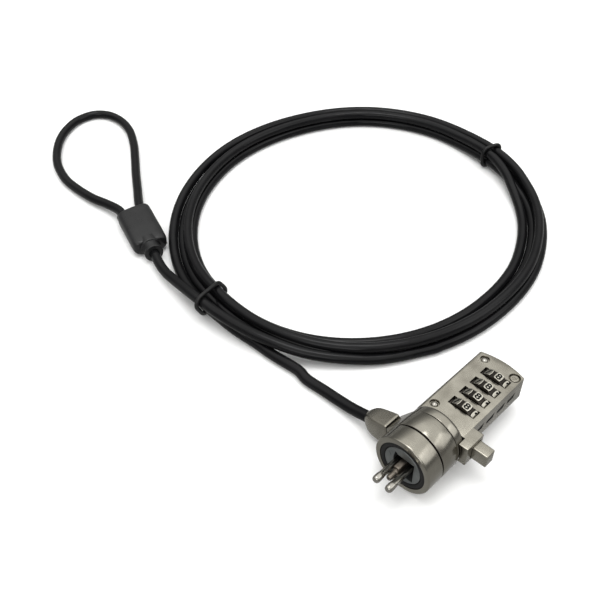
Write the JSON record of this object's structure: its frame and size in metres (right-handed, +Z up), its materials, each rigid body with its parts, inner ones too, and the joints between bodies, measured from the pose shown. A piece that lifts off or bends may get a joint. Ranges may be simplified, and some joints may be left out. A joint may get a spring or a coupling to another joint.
{
  "type": "laptop cable lock",
  "caption": "Combination cable lock for a laptop: number dials in a plated box, a round barrel with spreading prongs, a swivelling cable holder and a black cable wound in a ring with a loop end.",
  "frame": {"origin": "on the surface that the lock lies on, under the centre of the lock head's bounding box, cable left out", "axes": "+Z up; +Y along the barrel from the prongs to the dial box; +X towards the push button, so the cable leaves towards -X"},
  "size_m": [0.2721, 0.1889, 0.0203],
  "materials": {
    "satin_nickel": "warm satin nickel plate",
    "cast_zinc": "matte grey zinc casting",
    "polished_steel": "smooth bright steel",
    "spring_steel": "drawn spring steel",
    "face_rubber": "matte black",
    "cable_vinyl": "glossy black vinyl over steel strand",
    "moulded_black": "satin black",
    "crimp_aluminium": "plain"
  },
  "bodies": {
    "cable": {"swivel_collar": "satin_nickel", "swivel_stud": "polished_steel", "cable_end_stop": "crimp_aluminium", "cable_lock_lead": "cable_vinyl", "cable_coil": "cable_vinyl", "cable_loop_lead": "cable_vinyl", "cable_loop": "cable_vinyl", "crimp_sleeve": "crimp_aluminium", "loop_ferrule": "moulded_black", "cable_tie_1": "face_rubber", "cable_tie_2": "face_rubber"},
    "holder": {"cable_holder": "satin_nickel"},
    "lock": {"lock_body": "satin_nickel", "base_cover": "satin_nickel", "barrel_core": "satin_nickel", "front_collar": "satin_nickel", "face_seal": "face_rubber", "nose_plug": "cast_zinc", "pivot_pin_left": "polished_steel", "pivot_pin_right": "polished_steel", "rear_rivet": "polished_steel", "front_rivet": "polished_steel", "detent_strip": "spring_steel", "button_spring": "spring_steel", "slide_spring": "spring_steel"},
    "button": {"push_button": "satin_nickel"},
    "slide": {"release_slide": "cast_zinc", "spindle": "polished_steel"},
    "prong_left": {"prong_left": "polished_steel"},
    "prong_right": {"prong_right": "polished_steel"},
    "code_change": {"code_change_screw": "polished_steel"},
    "dial_1": {"dial_1": "satin_nickel", "dial_hub_1": "polished_steel"},
    "dial_2": {"dial_2": "satin_nickel", "dial_hub_2": "polished_steel"},
    "dial_3": {"dial_3": "satin_nickel", "dial_hub_3": "polished_steel"},
    "dial_4": {"dial_4": "satin_nickel", "dial_hub_4": "polished_steel"}
  },
  "joints": [
    {"name": "head_swivel", "type": "hinge", "parent": "cable", "child": "lock", "pos_m": [0.00287, -0.01097, 0.01015], "axis": [0, 1, 0], "continuous": true},
    {"name": "holder_swivel", "type": "hinge", "parent": "cable", "child": "holder", "pos_m": [-0.01168, -0.01097, 0.00652], "axis": [-0.9703, 0, -0.2419], "continuous": true},
    {"name": "button_press", "type": "slide", "parent": "lock", "child": "button", "axis": [-1, 0, 0], "range_m": [0, 0.002], "stiffness_N_per_m": 400, "springref_m": -0.003, "deforming": ["button_spring"]},
    {"name": "release_travel", "type": "slide", "parent": "lock", "child": "slide", "axis": [0, 1, 0], "range_m": [0, 0.002], "deforming": ["slide_spring"]},
    {"name": "prong_left_pivot", "type": "hinge", "parent": "lock", "child": "prong_left", "pos_m": [0.00052, -0.01137, 0.01015], "axis": [0, 0, 1], "range_deg": [0, 1.5]},
    {"name": "prong_right_pivot", "type": "hinge", "parent": "lock", "child": "prong_right", "pos_m": [0.00522, -0.01137, 0.01015], "axis": [0, 0, 1], "range_deg": [-1.5, 0]},
    {"name": "code_change_turn", "type": "hinge", "parent": "lock", "child": "code_change", "pos_m": [0.00877, 0.02763, 0.01415], "axis": [0, 0, 1], "range_deg": [0, 90]},
    {"name": "dial_1_turn", "type": "hinge", "parent": "lock", "child": "dial_1", "pos_m": [0.0043, 0.00633, 0.00985], "axis": [0, 1, 0], "continuous": true},
    {"name": "dial_2_turn", "type": "hinge", "parent": "lock", "child": "dial_2", "pos_m": [0.0043, 0.01203, 0.00985], "axis": [0, 1, 0], "continuous": true},
    {"name": "dial_3_turn", "type": "hinge", "parent": "lock", "child": "dial_3", "pos_m": [0.0043, 0.01773, 0.00985], "axis": [0, 1, 0], "continuous": true},
    {"name": "dial_4_turn", "type": "hinge", "parent": "lock", "child": "dial_4", "pos_m": [0.0043, 0.02343, 0.00985], "axis": [0, 1, 0], "continuous": true}
  ],
  "couplings": [
    {"joint": "release_travel", "follows": "button_press", "ratio": 1},
    {"joint": "prong_left_pivot", "follows": "button_press", "rad_per_m": 13},
    {"joint": "prong_right_pivot", "follows": "button_press", "rad_per_m": -13}
  ]
}
